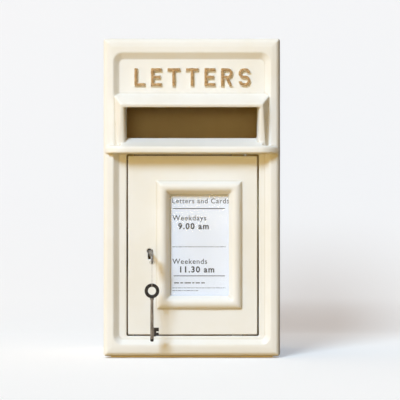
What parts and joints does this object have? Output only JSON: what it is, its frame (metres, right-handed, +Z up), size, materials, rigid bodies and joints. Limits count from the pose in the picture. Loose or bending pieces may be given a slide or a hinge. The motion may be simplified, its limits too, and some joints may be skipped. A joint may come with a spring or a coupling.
{
  "type": "wall mounted mailbox",
  "caption": "Wall letter box with a cast, bordered front, hooded slot over a shelf, side-hinged door with a notice frame, key lock and hanging spare key",
  "frame": {"origin": "centre of the four wall fixing holes, in the back face that lies on the wall", "axes": "+X to the right seen from the front, +Y into the wall, +Z up; the front faces -Y"},
  "size_m": [0.316, 0.2599, 0.57],
  "materials": {
    "cream_paint": "satin paint over a casting",
    "gold_paint": "metallic gold paint",
    "zinc_steel": "zinc plated",
    "spring_steel": "blued",
    "brass": "plain",
    "clear_sheet": "clear acrylic",
    "card": "printed card",
    "black_iron": "dark, oiled",
    "pale_wire": "pale twisted wire"
  },
  "bodies": {
    "housing": {"front_frame": "cream_paint", "header_letters": "gold_paint", "body_shell": "cream_paint", "back_panel": "cream_paint", "back_rivets": "zinc_steel", "frame_screws": "zinc_steel", "door_stops": "zinc_steel", "stop_screws": "zinc_steel", "lower_hinge_pin": "zinc_steel", "upper_hinge_pin": "zinc_steel", "thrust_washer": "brass", "lock_keep": "zinc_steel", "keep_screws": "zinc_steel"},
    "door": {"door_panel": "cream_paint", "notice_pane": "clear_sheet", "notice_card": "card", "notice_backing": "zinc_steel", "notice_screws": "zinc_steel", "lock_case": "black_iron", "lock_cap": "black_iron", "lock_screws": "zinc_steel", "bolt_spring": "spring_steel"},
    "bolt": {"lock_bolt": "brass"},
    "key": {"lock_key": "black_iron"},
    "tie": {"key_tie": "pale_wire"},
    "spare": {"spare_key": "black_iron"}
  },
  "joints": [
    {"name": "door_hinge", "type": "hinge", "parent": "housing", "child": "door", "pos_m": [0.0953, -0.192, 0], "axis": [0, 0, 1], "range_deg": [0, 105]},
    {"name": "bolt_slide", "type": "slide", "parent": "door", "child": "bolt", "axis": [-1, 0, 0], "range_m": [0, 0.01]},
    {"name": "key_turn", "type": "hinge", "parent": "door", "child": "key", "pos_m": [-0.0697, -0.247, -0.1031], "axis": [-0.1189, 0.9805, 0.1565], "range_deg": [0, 90]},
    {"name": "tie_swing", "type": "hinge", "parent": "key", "child": "tie", "pos_m": [-0.0697, -0.247, -0.1131], "axis": [-0.1189, 0.9805, 0.1565], "range_deg": [-110, 20]},
    {"name": "spare_swing", "type": "hinge", "parent": "tie", "child": "spare", "pos_m": [-0.0697, -0.247, -0.1533], "axis": [1, 0, 0], "range_deg": [-70, 20]}
  ],
  "couplings": [
    {"joint": "key_turn", "follows": "bolt_slide", "rad_per_m": 157.08}
  ]
}
